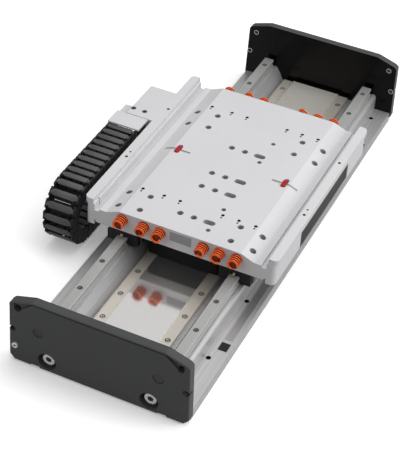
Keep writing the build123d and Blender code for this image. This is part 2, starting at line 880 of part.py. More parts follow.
def hood():
    # plate over the carrier's last link
    return block_between(hood_outer_x, hood_inner_x, hood_near_y, bracket_near_y - hood_clearance, hood_low,
                         hood_low + hood_height)


def fixed_end():
    start = lower_end_y + chain_tongue_r + chain_link_gap
    floor = foot_low + foot_thickness
    return end_tray(start, start + foot_length, floor, chain_height - floor, False)


def foot():
    # angle screwed to the base's left side, it carries the fixed end of the cable carrier
    y0, y1 = foot_middle_y - foot_length / 2, foot_middle_y + foot_length / 2
    low, high = foot_low, flange_top - foot_edge
    body = block_between(chain_x - chain_half_width, -base_half_width, y0, y1, low, low + foot_thickness)
    body += block_between(-base_half_width - foot_thickness, -base_half_width, y0, y1, low, high)
    for y in foot_screw_ys:
        body -= rod_x(y, foot_screw_z + foot_thickness, -base_half_width - foot_thickness, -base_half_width,
                      foot_screw_r + screw_clearance)
    return body


def foot_screws():
    length = foot_thickness + foot_screw_grip - screw_spare
    screw = Rot(0, -90, 0) * plain_screw(foot_head_r, foot_head_height, foot_screw_r, length)
    seat_x, level = -base_half_width - foot_thickness, foot_screw_z + foot_thickness
    return [Pos(seat_x, y, level) * screw for y in foot_screw_ys]


os.makedirs("parts", exist_ok=True)

save(base(), "base_extrusion")
for side, word in ((-1, "left"), (1, "right")):
    save(rail(side), f"rail_{word}")
    save_group(rail_screws(side), f"rail_screws_{word}")
    save(wing(side), f"wing_{word}")
    save(clip(side), f"clip_{word}")
    for y, place in zip(block_ys, ("near", "far")):
        save(block_middle(side, y), f"bearing_block_{place}_{word}")
        save_group(block_ends(side, y), f"block_ends_{place}_{word}")
for index, place in enumerate(("near", "far")):
    save(track_plate(index), f"magnet_plate_{place}")
    save_group(magnets(index), f"magnets_{place}")
    save(track_cover(index), f"magnet_cover_{place}")
save_group(track_screws(), "magnet_plate_screws")
save(end_cap(near_end, -1), "end_cap_near")
save(end_cap(far_end, 1), "end_cap_far")
save_group(cap_plugs(), "cap_plugs")
save_group(cap_bolts(), "cap_bolts")
save(ground_screw(), "ground_screw")
save_group(nipples(), "grease_nipples")
save_group(block_screws(), "block_screws")
save(carriage_plate(), "carriage_plate")
save_group(springs(-1), "springs_near")
save_group(springs(1), "springs_far")
save_group(spring_pins(), "spring_pins")
save(window(), "reader_window")
save(coil(), "motor_coil")
save_group(coil_screws(), "coil_screws")
save(scale(), "position_scale")
save_group(targets(), "limit_targets")
save(reader(), "scale_reader")
save_group([clip_wire(side) for side in (-1, 1)], "clip_wires")
last_link = chain_bend_links + chain_lower_links
save_group(chain_sides(-chain_upper_links, 0), "chain_upper_sides")
save_group(chain_bars(-chain_upper_links, 0), "chain_upper_bars")
save_group(chain_sides(0, chain_bend_links), "chain_bend_sides")
save_group(chain_bars(0, chain_bend_links), "chain_bend_bars")
save_group(chain_sides(chain_bend_links, last_link), "chain_lower_sides")
save_group(chain_bars(chain_bend_links, last_link), "chain_lower_bars")
save(moving_bracket(), "chain_bracket")
save(hood(), "chain_hood")
save(moving_end(), "chain_moving_end")
save_group(bracket_screws(), "chain_bracket_screws")
save(fixed_end(), "chain_fixed_end")
save(foot(), "chain_foot")
save_group(foot_screws(), "chain_foot_screws")
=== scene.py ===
import math
import random

import bpy
from mathutils import Matrix, Vector


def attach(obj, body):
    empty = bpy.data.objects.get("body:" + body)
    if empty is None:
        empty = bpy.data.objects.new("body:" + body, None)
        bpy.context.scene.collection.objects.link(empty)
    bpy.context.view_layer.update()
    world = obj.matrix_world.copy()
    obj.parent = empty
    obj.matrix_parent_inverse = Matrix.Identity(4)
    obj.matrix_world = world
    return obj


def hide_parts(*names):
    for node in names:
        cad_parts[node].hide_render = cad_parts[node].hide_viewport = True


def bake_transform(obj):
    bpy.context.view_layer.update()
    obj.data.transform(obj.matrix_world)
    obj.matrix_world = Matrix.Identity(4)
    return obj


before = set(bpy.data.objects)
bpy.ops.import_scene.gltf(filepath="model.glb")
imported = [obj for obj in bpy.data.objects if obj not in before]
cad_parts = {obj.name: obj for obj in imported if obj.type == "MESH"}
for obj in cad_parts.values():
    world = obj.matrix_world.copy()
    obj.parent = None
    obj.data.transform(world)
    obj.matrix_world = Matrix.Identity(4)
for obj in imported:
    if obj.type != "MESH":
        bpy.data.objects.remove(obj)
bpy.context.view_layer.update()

scene = bpy.context.scene
mm = 0.001
print("frame loaded:", len(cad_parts), "solids")


# camera, at the photograph's angle

view = {
    "place": (0.5871, -1.4729, 1.2943), "turn": 22.871, "tilt": 39.297, "roll": 3.823,
    "focalPixels": 1439.3, "longSide": 449, "sensor": 36, "nearest": 0.05, "farthest": 50,
}


def makeCamera():
    turn, tilt, roll = (math.radians(view[key]) for key in ("turn", "tilt", "roll"))
    back = Vector((math.sin(turn) * math.cos(tilt), -math.cos(turn) * math.cos(tilt), math.sin(tilt)))
    level = Vector((math.cos(turn), math.sin(turn), 0))
    upright = back.cross(level)
    right = math.cos(roll) * level + math.sin(roll) * upright
    up = -math.sin(roll) * level + math.cos(roll) * upright
    data = bpy.data.cameras.new("camera")
    data.sensor_width = view["sensor"]
    data.lens = view["focalPixels"] / view["longSide"] * view["sensor"]
    data.clip_start, data.clip_end = view["nearest"], view["farthest"]
    obj = bpy.data.objects.new("camera", data)
    scene.collection.objects.link(obj)
    obj.matrix_world = Matrix.Translation(view["place"]) @ Matrix((right, up, back)).transposed().to_4x4()
    scene.camera = obj


makeCamera()
print("camera placed")


# studio: pale floor, a sky that dims towards the horizon and three large soft lamps

studio = {
    "floorSize": 14.0, "floorDrop": 0.0003, "floorRough": 0.85, "floorGlow": 0.2, "glowColour": (1, 1, 1, 1),
    "floorColour": (0.97, 0.97, 0.97, 1), "floorBounce": (0.3, 0.3, 0.303, 1),
    "bright": (0.9, 0.9, 0.91, 1), "dim": (0.13, 0.13, 0.135, 1), "seenSky": (1.0, 1.0, 1.0, 1),
    "brightWay": (0.3, 0.15, 0.94),
    "lamps": (
        {"name": "overheadLamp", "place": (0.5, 0.5, 2.6), "aim": (0, 0.05, 0), "size": 2.0, "power": 27},
        {"name": "sideLamp", "place": (2.1, 0.3, 1.25), "aim": (0, 0, 0.05), "size": 1.2, "power": 25},
        {"name": "frontLamp", "place": (-1.3, -2.0, 1.0), "aim": (0, -0.1, 0.05), "size": 1.2, "power": 8},
    ),
}


def makeSky():
    world = bpy.data.worlds.new("studioWorld")
    scene.world = world
    world.use_nodes = True
    tree = world.node_tree
    place = tree.nodes.new("ShaderNodeTexCoord")
    facing = tree.nodes.new("ShaderNodeVectorMath")
    sky = tree.nodes.new("ShaderNodeMix")
    seen = tree.nodes.new("ShaderNodeMix")
    rays = tree.nodes.new("ShaderNodeLightPath")
    sky.data_type = seen.data_type = "RGBA"
    facing.operation = "DOT_PRODUCT"
    facing.inputs[1].default_value = studio["brightWay"]
    sky.inputs["A"].default_value = studio["dim"]
    sky.inputs["B"].default_value = studio["bright"]
    seen.inputs["B"].default_value = studio["seenSky"]
    tree.links.new(place.outputs["Generated"], facing.inputs[0])
    tree.links.new(facing.outputs["Value"], sky.inputs["Factor"])
    tree.links.new(sky.outputs["Result"], seen.inputs["A"])
    tree.links.new(rays.outputs["Is Camera Ray"], seen.inputs["Factor"])
    tree.links.new(seen.outputs["Result"], tree.nodes["Background"].inputs["Color"])


def makeLamps():
    for lamp in studio["lamps"]:
        data = bpy.data.lights.new(lamp["name"], "AREA")
        data.size = lamp["size"]
        data.energy = lamp["power"]
        obj = bpy.data.objects.new(lamp["name"], data)
        scene.collection.objects.link(obj)
        place, aim = Vector(lamp["place"]), Vector(lamp["aim"])
        obj.location = place
        obj.rotation_euler = (aim - place).to_track_quat("-Z", "Y").to_euler()


def makeFloor():
    # pale to the camera, and a little darker in what it throws back at the object
    half = studio["floorSize"] / 2
    corners = [(x * half, y * half, -studio["floorDrop"]) for x, y in ((-1, -1), (1, -1), (1, 1), (-1, 1))]
    mesh = bpy.data.meshes.new("studioFloor")
    mesh.from_pydata(corners, [], [(0, 1, 2, 3)])
    floor = bpy.data.objects.new("studioFloor", mesh)
    scene.collection.objects.link(floor)
    paint = bpy.data.materials.new("floorPaint")
    paint.use_nodes = True
    tree = paint.node_tree
    tone = tree.nodes.new("ShaderNodeMix")
    rays = tree.nodes.new("ShaderNodeLightPath")
    tone.data_type = "RGBA"
    tone.inputs["A"].default_value = studio["floorBounce"]
    tone.inputs["B"].default_value = studio["floorColour"]
    tree.links.new(rays.outputs["Is Camera Ray"], tone.inputs["Factor"])
    shader = tree.nodes["Principled BSDF"]
    tree.links.new(tone.outputs["Result"], shader.inputs["Base Color"])
    shader.inputs["Roughness"].default_value = studio["floorRough"]
    shader.inputs["Emission Color"].default_value = studio["glowColour"]
    shader.inputs["Emission Strength"].default_value = studio["floorGlow"]
    mesh.materials.append(paint)


def makeStudio():
    scene.view_settings.view_transform = "Standard"
    makeSky()
    makeLamps()
    makeFloor()


makeStudio()
print("studio ready")


# shared surface effects, each a node group with named inputs and outputs

# what a finish has where it says nothing else
usual = {"grain": 900.0, "mottle": 14.0, "edgeRadius": 0.0004, "edgeGain": 4.0, "bump": 0.1, "metallic": 0.0,
         "coat": 0.0, "coatRough": 0.1, "specular": 0.5}
noise = {"grainDetail": 2.0, "mottleDetail": 4.0, "streakDetail": 3.0, "span": (0.3, 0.7), "bumpDepth": 0.0002}


def startGroup(name, inputs, outputs):
    group = bpy.data.node_groups.new(name, "ShaderNodeTree")
    for label, value in inputs.items():
        socket = group.interface.new_socket(name=label, in_out="INPUT", socket_type="NodeSocketFloat")
        socket.default_value = value
    for label, kind in outputs.items():
        group.interface.new_socket(name=label, in_out="OUTPUT", socket_type=f"NodeSocket{kind}")
    return group, group.nodes.new("NodeGroupInput"), group.nodes.new("NodeGroupOutput")


def addNode(tree, kind, **settings):
    node = tree.nodes.new(kind)
    for key, value in settings.items():
        setattr(node, key, value)
    return node


def addMath(tree, operation, first, second=None, clamp=False):
    node = addNode(tree, "ShaderNodeMath", operation=operation, use_clamp=clamp)
    for socket, value in zip(node.inputs, (first, second)):
        if isinstance(value, (int, float)):
            socket.default_value = value
        elif value is not None:
            tree.links.new(value, socket)
    return node.outputs[0]


def makeGrainGroup():
    # fine grain over a slow mottle, both from 0 to 1
    group, start, end = startGroup(
        "surfaceGrain", {"Grain Scale": usual["grain"], "Mottle Scale": usual["mottle"]},
        {"Grain": "Float", "Mottle": "Float"})
    place = addNode(group, "ShaderNodeTexCoord")
    for target, detail in (("Grain", noise["grainDetail"]), ("Mottle", noise["mottleDetail"])):
        cloud = addNode(group, "ShaderNodeTexNoise")
        cloud.inputs["Detail"].default_value = detail
        group.links.new(place.outputs["Object"], cloud.inputs["Vector"])
        group.links.new(start.outputs[f"{target} Scale"], cloud.inputs["Scale"])
        group.links.new(cloud.outputs["Fac"], end.inputs[target])
    return group


def makeStreakGroup():
    # fine lines that run along Y, as drawing, brushing or grinding leaves them
    group, start, end = startGroup("lengthStreaks", {"Across": 900.0, "Along": 4.0}, {"Streak": "Float"})
    place = addNode(group, "ShaderNodeTexCoord")
    squeeze = addNode(group, "ShaderNodeCombineXYZ")
    spread = addNode(group, "ShaderNodeVectorMath", operation="MULTIPLY")
    cloud = addNode(group, "ShaderNodeTexNoise")
    cloud.inputs["Scale"].default_value = 1.0
    cloud.inputs["Detail"].default_value = noise["streakDetail"]
    for axis, label in (("X", "Across"), ("Y", "Along"), ("Z", "Across")):
        group.links.new(start.outputs[label], squeeze.inputs[axis])
    group.links.new(place.outputs["Object"], spread.inputs[0])
    group.links.new(squeeze.outputs[0], spread.inputs[1])
    group.links.new(spread.outputs[0], cloud.inputs["Vector"])
    group.links.new(cloud.outputs["Fac"], end.inputs["Streak"])
    return group


def makeEdgeGroup():
    # rounded edge normals, and a mask that is 1 on the edges, where the finishes put a painted highlight
    group, start, end = startGroup(
        "edgeHighlight", {"Edge Radius": usual["edgeRadius"], "Gain": usual["edgeGain"]},
        {"Edge": "Float", "Rounded Normal": "Vector"})
    rounded = addNode(group, "ShaderNodeBevel", samples=4)
    flat = addNode(group, "ShaderNodeNewGeometry")
    compare = addNode(group, "ShaderNodeVectorMath", operation="DOT_PRODUCT")
    group.links.new(start.outputs["Edge Radius"], rounded.inputs["Radius"])
    group.links.new(rounded.outputs["Normal"], compare.inputs[0])
    group.links.new(flat.outputs["Normal"], compare.inputs[1])
    turned = addMath(group, "SUBTRACT", 1.0, compare.outputs["Value"])
    group.links.new(addMath(group, "MULTIPLY", turned, start.outputs["Gain"], clamp=True), end.inputs["Edge"])
    group.links.new(rounded.outputs["Normal"], end.inputs["Rounded Normal"])
    return group


def makeInsideGroup():
    # 1 within a given distance of the middle along Y, 0 beyond it
    group, start, end = startGroup("withinLength", {"Reach": 0.36}, {"Inside": "Float"})
    place = addNode(group, "ShaderNodeTexCoord")
    parts = addNode(group, "ShaderNodeSeparateXYZ")
    group.links.new(place.outputs["Object"], parts.inputs[0])
    distance = addMath(group, "ABSOLUTE", parts.outputs["Y"])
    group.links.new(addMath(group, "LESS_THAN", distance, start.outputs["Reach"]), end.inputs["Inside"])
    return group


effects = {"grain": makeGrainGroup(), "streaks": makeStreakGroup(), "edges": makeEdgeGroup(),
           "inside": makeInsideGroup()}


def addEffect(tree, name, values):
    node = addNode(tree, "ShaderNodeGroup", node_tree=effects[name])
    for label, value in values.items():
        node.inputs[label].default_value = value
    return node


def addRange(tree, mask, low=0.0, high=1.0):
    # the middle span of a noise, drawn out from low to high
    node = addNode(tree, "ShaderNodeMapRange")
    limits = (*noise["span"], low, high)
    for label, value in zip(("From Min", "From Max", "To Min", "To Max"), limits):
        node.inputs[label].default_value = value
    tree.links.new(mask, node.inputs["Value"])
    return node.outputs["Result"]


def addMix(tree, kind, first, second, mask):
    node = addNode(tree, "ShaderNodeMix", data_type=kind)
    for label, value in (("A", first), ("B", second), ("Factor", mask)):
        if isinstance(value, bpy.types.NodeSocket):
            tree.links.new(value, node.inputs[label])
        else:
            node.inputs[label].default_value = value
    return node.outputs["Result"]


def makeFinish(name, look):
    # colour runs from "colour" to "shade" with the mottle or the streaks, and to "edge" on the edges, which is
    # a painted highlight
    look = {**usual, "edge": look["colour"], **look}
    material = bpy.data.materials.new(name)
    material.use_nodes = True
    tree = material.node_tree
    grain = addEffect(tree, "grain", {"Grain Scale": look["grain"], "Mottle Scale": look["mottle"]})
    edges = addEffect(tree, "edges", {"Edge Radius": look["edgeRadius"], "Gain": look["edgeGain"]})
    mask, relief = grain.outputs["Mottle"], grain.outputs["Grain"]
    if "streaks" in look:
        streaks = addEffect(tree, "streaks", dict(zip(("Across", "Along"), look["streaks"])))
        mask = relief = streaks.outputs["Streak"]
    tint = addMix(tree, "RGBA", (*look["colour"], 1), (*look["shade"], 1), addRange(tree, mask))
    # painted highlight: the lighter edge colour along the edges
    paint = addMix(tree, "RGBA", tint, (*look["edge"], 1), edges.outputs["Edge"])
    rough = addRange(tree, mask, *look["rough"])
    if "inner" in look:
        # within a reach of the object's middle, colour and gloss are others: the black plastic of the chain's
        # end piece, and a near black painted shade on the end caps' inward faces
        inside = addEffect(tree, "inside", {"Reach": look["inner"]["reach"]}).outputs["Inside"]
        paint = addMix(tree, "RGBA", paint, (*look["inner"]["colour"], 1), inside)
        rough = addMix(tree, "FLOAT", rough, look["inner"]["rough"], inside)
    bump = addNode(tree, "ShaderNodeBump")
    bump.inputs["Strength"].default_value = look["bump"]
    bump.inputs["Distance"].default_value = noise["bumpDepth"]
    tree.links.new(relief, bump.inputs["Height"])
    tree.links.new(edges.outputs["Rounded Normal"], bump.inputs["Normal"])
    shader = tree.nodes["Principled BSDF"]
    for socket, label in ((paint, "Base Color"), (rough, "Roughness"), (bump.outputs["Normal"], "Normal")):
        tree.links.new(socket, shader.inputs[label])
    shader.inputs["Metallic"].default_value = look["metallic"]
    shader.inputs["Coat Weight"].default_value = look["coat"]
    shader.inputs["Coat Roughness"].default_value = look["coatRough"]
    shader.inputs["Specular IOR Level"].default_value = look["specular"]
    return material


print("surface effects ready")


# finishes, one dictionary each

finishes = {
    "paleAnodised": {"colour": (0.62, 0.62, 0.625), "shade": (0.585, 0.585, 0.595),
                     "edge": (0.76, 0.76, 0.765), "rough": (0.42, 0.5), "metallic": 0.1, "grain": 1400.0,
                     "mottle": 9.0, "bump": 0.12, "edgeRadius": 0.0007},
    "endPiece": {"colour": (0.62, 0.62, 0.625), "shade": (0.585, 0.585, 0.595), "edge": (0.76, 0.76, 0.765),
                 "rough": (0.42, 0.5), "metallic": 0.1, "mottle": 9.0,
                 "inner": {"reach": 0.0495, "colour": (0.012, 0.012, 0.0125), "rough": 0.5}},
    "blackCap": {"colour": (0.055, 0.056, 0.057), "shade": (0.062, 0.063, 0.064), "edge": (0.11, 0.11, 0.112),
                 "rough": (0.36, 0.48), "grain": 1600.0, "mottle": 12.0, "bump": 0.25, "specular": 0.2,
                 "edgeRadius": 0.0006, "edgeGain": 2.5,
                 # painted shade: the caps' faces turned to the middle are near black and glossy
                 "inner": {"reach": 0.3604, "colour": (0.002, 0.002, 0.0022), "rough": 0.16}},
    "capPlug": {"colour": (0.046, 0.047, 0.048), "shade": (0.052, 0.053, 0.054), "edge": (0.1, 0.1, 0.1),
                "rough": (0.4, 0.5), "specular": 0.2},
    "extruded": {"colour": (0.57, 0.57, 0.572), "shade": (0.44, 0.44, 0.445), "edge": (0.74, 0.74, 0.75),
                 "rough": (0.32, 0.48), "metallic": 0.65, "streaks": (420.0, 1.2), "bump": 0.3,
                 "edgeRadius": 0.0005},
    "groundRail": {"colour": (0.45, 0.45, 0.44), "shade": (0.37, 0.37, 0.365), "edge": (0.6, 0.6, 0.6),
                   "rough": (0.34, 0.46), "metallic": 0.5, "streaks": (1300.0, 3.0), "bump": 0.15,
                   "edgeRadius": 0.0003},
    "nickelPlate": {"colour": (0.73, 0.69, 0.61), "shade": (0.65, 0.615, 0.545), "edge": (0.82, 0.78, 0.7),
                    "rough": (0.3, 0.4), "metallic": 0.6, "grain": 700.0, "mottle": 22.0, "bump": 0.08},
    "mirrorSheet": {"colour": (0.95, 0.94, 0.915), "shade": (0.92, 0.91, 0.885), "edge": (0.96, 0.95, 0.93),
                    "rough": (0.07, 0.11), "metallic": 0.95, "streaks": (1500.0, 6.0), "bump": 0.04,
                    "edgeRadius": 0.0002},
    # the far cover is the same sheet as the near one, painted a dull grey as a painted reflection of the dark
    # end cap that it mirrors
    "farSheetPaintedReflection": {"colour": (0.56, 0.54, 0.495), "shade": (0.545, 0.525, 0.48), "edge": (0.66, 0.64, 0.59),
                  "rough": (0.24, 0.3), "metallic": 0.35, "mottle": 12.0, "bump": 0.04, "edgeRadius": 0.0002},
    "magnetNickel": {"colour": (0.45, 0.44, 0.42), "shade": (0.35, 0.34, 0.33), "rough": (0.3, 0.4),
                     "metallic": 1.0},
    "blockSteel": {"colour": (0.3, 0.3, 0.31), "shade": (0.22, 0.22, 0.23), "edge": (0.5, 0.5, 0.5),
                   "rough": (0.3, 0.42), "metallic": 1.0, "streaks": (900.0, 6.0), "bump": 0.15},
    "blackPlastic": {"colour": (0.012, 0.012, 0.0125), "shade": (0.018, 0.018, 0.0185),
                     "edge": (0.045, 0.045, 0.045), "rough": (0.42, 0.58), "grain": 1200.0, "mottle": 20.0,
                     "bump": 0.3, "edgeGain": 2.0, "specular": 0.18},
    "coilResin": {"colour": (0.005, 0.005, 0.0053), "shade": (0.009, 0.009, 0.0093),
                  "edge": (0.03, 0.03, 0.03), "rough": (0.38, 0.55), "grain": 800.0, "mottle": 30.0,
                  "bump": 0.3, "edgeRadius": 0.0008, "edgeGain": 2.0, "specular": 0.08},
    "greyPlastic": {"colour": (0.085, 0.085, 0.088), "shade": (0.066, 0.066, 0.068),
                    "edge": (0.15, 0.15, 0.155), "rough": (0.42, 0.56), "grain": 1300.0, "mottle": 40.0,
                    "bump": 0.25, "edgeGain": 2.5, "specular": 0.35},
    "springPaint": {"colour": (1.0, 0.15, 0.012), "shade": (0.93, 0.11, 0.008), "edge": (1.0, 0.22, 0.03),
                    "rough": (0.3, 0.4), "mottle": 60.0, "bump": 0.05, "coat": 0.2, "coatRough": 0.15,
                    "edgeRadius": 0.0002},
    # painted shade on the spring's flanks between the turns
    "springPaintedShade": {"colour": (0.2, 0.018, 0.003), "shade": (0.16, 0.014, 0.0025), "rough": (0.4, 0.5),
                    "mottle": 60.0, "specular": 0.25},
    # painted shade: the cores are a dark red-brown so that the gaps between the turns look dark
    "springCore": {"colour": (0.26, 0.03, 0.005), "shade": (0.19, 0.021, 0.004), "rough": (0.5, 0.6),
                   "mottle": 60.0, "specular": 0.2},
    "clipRed": {"colour": (0.42, 0.003, 0.012), "shade": (0.3, 0.002, 0.008), "edge": (0.6, 0.02, 0.035),
                "rough": (0.14, 0.2), "mottle": 80.0, "bump": 0.03, "specular": 0.35},
    "brightSteel": {"colour": (0.72, 0.72, 0.71), "shade": (0.58, 0.58, 0.575), "edge": (0.86, 0.86, 0.86),
                    "rough": (0.18, 0.3), "metallic": 0.95, "mottle": 90.0, "bump": 0.1,
                    "edgeRadius": 0.0003},
    "paleSteel": {"colour": (0.5, 0.48, 0.43), "shade": (0.4, 0.385, 0.345), "edge": (0.66, 0.64, 0.6),
                  "rough": (0.3, 0.4), "metallic": 0.7, "mottle": 90.0, "bump": 0.1, "edgeRadius": 0.0002},
    "boltSteel": {"colour": (0.82, 0.82, 0.81), "shade": (0.7, 0.7, 0.69), "edge": (0.95, 0.95, 0.95),
                  "rough": (0.2, 0.3), "metallic": 0.55, "mottle": 90.0, "bump": 0.1, "edgeRadius": 0.0004},
    "midSteel": {"colour": (0.2, 0.2, 0.195), "shade": (0.15, 0.15, 0.145), "edge": (0.4, 0.4, 0.39),
                 "rough": (0.3, 0.42), "metallic": 0.6, "mottle": 90.0, "bump": 0.15, "edgeRadius": 0.0003},
    # painted shade: a grey darker than the plate, for the walls of its wide bores
    "boreShadeLiner": {"colour": (0.5, 0.495, 0.49), "shade": (0.43, 0.425, 0.42), "rough": (0.4, 0.5),
                 "metallic": 0.3, "mottle": 60.0},
    "plainLabel": {"colour": (0.3, 0.3, 0.305), "shade": (0.26, 0.26, 0.265), "rough": (0.3, 0.4),
                   "mottle": 30.0},
    "darkSteel": {"colour": (0.09, 0.09, 0.09), "shade": (0.06, 0.06, 0.06), "edge": (0.2, 0.2, 0.2),
                  "rough": (0.3, 0.42), "metallic": 0.8, "mottle": 90.0, "bump": 0.15, "edgeRadius": 0.0003},
    # painted shade for holes, screw sockets, counterbore rings and pocket floors
    "paintedShadeDark": {"colour": (0.012, 0.012, 0.012), "shade": (0.02, 0.02, 0.02), "rough": (0.35, 0.45),
                   "metallic": 0.2, "mottle": 90.0, "specular": 0.3},
    "brassFitting": {"colour": (0.72, 0.6, 0.34), "shade": (0.6, 0.49, 0.26), "edge": (0.85, 0.75, 0.5),
                     "rough": (0.2, 0.3), "metallic": 1.0, "mottle": 90.0},
    "darkWindow": {"colour": (0.03, 0.03, 0.027), "shade": (0.026, 0.026, 0.024), "edge": (0.05, 0.05, 0.05),
                   "rough": (0.4, 0.5), "mottle": 10.0, "bump": 0.03, "specular": 0.12},
    "scaleStrip": {"colour": (0.5, 0.5, 0.49), "shade": (0.43, 0.43, 0.42), "rough": (0.3, 0.4),
                   "metallic": 0.85, "streaks": (1500.0, 4.0), "bump": 0.05},
}
finish = {name: makeFinish(name, look) for name, look in finishes.items()}

# which solids take each finish
blockCorners = [f"{place}_{side}" for place in ("near", "far") for side in ("left", "right")]
solidFinishes = {
    "extruded": ("base_extrusion",),
    "groundRail": ("rail_left", "rail_right"),
    "nickelPlate": ("magnet_plate_near", "magnet_plate_far"),
    "mirrorSheet": ("magnet_cover_near",),
    "farSheetPaintedReflection": ("magnet_cover_far",),
    "magnetNickel": ("magnets_near", "magnets_far"),
    "blackCap": ("end_cap_near", "end_cap_far"),
    "capPlug": ("cap_plugs",),
    "blockSteel": tuple(f"bearing_block_{corner}" for corner in blockCorners),
    "blackPlastic": tuple(f"block_ends_{corner}" for corner in blockCorners)
    + ("chain_upper_sides", "chain_bend_sides", "chain_lower_sides", "chain_fixed_end", "limit_targets"),
    "greyPlastic": ("chain_upper_bars", "chain_bend_bars", "chain_lower_bars"),
    "paleAnodised": ("carriage_plate", "wing_left", "wing_right", "chain_bracket", "chain_hood", "chain_foot"),
    "endPiece": ("chain_moving_end",),
    "midSteel": ("rail_screws_left", "rail_screws_right"),
    "paleSteel": ("clip_wires",),
    "coilResin": ("motor_coil", "scale_reader"),
    "springPaint": ("springs_near", "springs_far"),
    "springCore": ("spring_pins",),
    "clipRed": ("clip_left", "clip_right"),
    "brightSteel": ("ground_screw", "cap_bolts", "block_screws", "coil_screws"),
    "darkSteel": ("magnet_plate_screws", "chain_foot_screws", "chain_bracket_screws"),
    "brassFitting": ("grease_nipples",),
    "darkWindow": ("reader_window",),
    "scaleStrip": ("position_scale",),
}


def dressSolids():
    for look, names in solidFinishes.items():
        for name in names:
            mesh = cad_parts[name].data
            mesh.materials.clear()
            mesh.materials.append(finish[look])


dressSolids()
print("solids dressed:", sum(len(names) for names in solidFinishes.values()))


# mesh helpers

sharpAngle = 40.0  # degrees between faces that meet in a sharp edge
headShape = {"cornerShare": 0.3, "bevel": 0.25, "edge": 0.4, "deep": 0.55, "shade": 0.75, "play": 0.04,
             "floorGap": 0.02, "ringPlay": 0.1, "seed": 11}


class Shape:
    # gathers points and faces, in millimetres, and gives a mesh in metres
    def __init__(self):
        self.points, self.faces, self.marks = [], [], []

    def add(self, points, faces, place=None, mark=0):
        # one mark for all the faces, or a list with one for each
        first = len(self.points)
        self.points += [place @ Vector(point) if place else Vector(point) for point in points]
        self.faces += [tuple(first + index for index in face) for face in faces]
        self.marks += mark if isinstance(mark, list) else [mark] * len(faces)

    def mesh(self, name, looks):
        mesh = bpy.data.meshes.new(name)
        mesh.from_pydata([tuple(point * mm) for point in self.points], [], self.faces)
        for look in looks:
            mesh.materials.append(finish[look])
        mesh.polygons.foreach_set("material_index", self.marks)
        mesh.validate()
        mesh.shade_smooth()
        mesh.set_sharp_from_angle(angle=math.radians(sharpAngle))
        return mesh


def addPiece(shape, name, looks, body, stands=()):
    obj = bpy.data.objects.new(name, shape.mesh(name, looks))
    scene.collection.objects.link(obj)
    if body:
        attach(obj, body)
    if stands:
        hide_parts(*stands)
    return obj


def loftRings(rings, joined=False):
    # rings of equally many points side by side, with both ends closed or the last ring joined to the first
    count = len(rings[0])
    points = [point for ring in rings for point in ring]
    faces = []
    for level in range(len(rings) if joined else len(rings) - 1):
        low, high = level * count, (level + 1) % len(rings) * count
        for index in range(count):
            after = (index + 1) % count
            faces.append((low + index, low + after, high + after, high + index))
    if not joined:
        faces.append(tuple(reversed(range(count))))
        faces.append(tuple((len(rings) - 1) * count + index for index in range(count)))
    return points, faces


def ringAngles(count):
    return [2 * math.pi * i / count for i in range(count)]


def circle(radius, height, count=24):
    return [(radius * math.cos(angle), radius * math.sin(angle), height) for angle in ringAngles(count)]


def hexagon(radius, height, count=24):
    # points of a hexagon's outline, in step with those of a circle
    ring = []
    for angle in ringAngles(count):
        reach = radius * math.cos(math.pi / 6) / math.cos((angle % (math.pi / 3)) - math.pi / 6)
        ring.append((reach * math.cos(angle), reach * math.sin(angle), height))
    return ring


def socketHead(radius, height, socket, edge, deep):
    corner = edge * headShape["cornerShare"]
    rings = [circle(radius, 0), circle(radius, height - edge), circle(radius - corner, height - corner),
             circle(radius - edge, height), circle(socket + headShape["bevel"], height),
             hexagon(socket, height - headShape["bevel"]), hexagon(socket, height * (1 - deep))]
    return loftRings(rings)


def washer(outer, inner, height, edge=0.15):
    rings = [circle(inner, 0), circle(outer, 0), circle(outer, height - edge), circle(outer - edge, height),
             circle(inner + edge, height), circle(inner, height - edge)]
    return loftRings(rings, True)


def softBox(x0, x1, y0, y1, z0, z1, edge):
    # box with bevelled edges along its height and round its top and bottom
    def ring(inset, z):
        a, b, c, d = x0 + inset, x1 - inset, y0 + inset, y1 - inset
        return [(a + edge, c, z), (b - edge, c, z), (b, c + edge, z), (b, d - edge, z),
                (b - edge, d, z), (a + edge, d, z), (a, d - edge, z), (a, c + edge, z)]
    return loftRings([ring(edge, z0), ring(0, z0 + edge), ring(0, z1 - edge), ring(edge, z1)])


def turnTo(facing):
    # turns a piece made along +Z to face along Y, -1 for the near end
    return Matrix.Rotation(math.radians(90 if facing < 0 else -90), 4, "X")


# buffer springs

spring = {
    "xs": (-83.5, -51.5, -27.5, 35.5, 59.0, 83.5), "level": 83.0, "seed": 7,
    "ends": {"near": (-149.5, -1), "far": (184.5, 1)}, "sunk": 5.0, "stand": 15.0, "outer": 8.0,
    "wide": 3.2, "high": 1.5, "pitch": 3.8, "closed": 0.4,
    "closedRise": 1.03, "squareness": 0.62, "steps": 26, "round": 12, "brightRim": 0.55, "brightTurn": 0.8,
}


def springPath():
    # height against turns, with closed coils at both ends
    total = spring["sunk"] + spring["stand"] - spring["high"]
    flat = spring["high"] * spring["closedRise"]
    turns = (total - 2 * spring["closed"] * flat) / spring["pitch"] + 2 * spring["closed"]
    steps = int(turns * spring["steps"])
    path, height = [], spring["high"] / 2
    for i in range(steps + 1):
        turn = turns * i / steps
        path.append((2 * math.pi * turn, height))
        isClosed = turn < spring["closed"] or turn > turns - spring["closed"]
        rate = flat if isClosed else spring["pitch"]
        height += rate * turns / steps
    return path


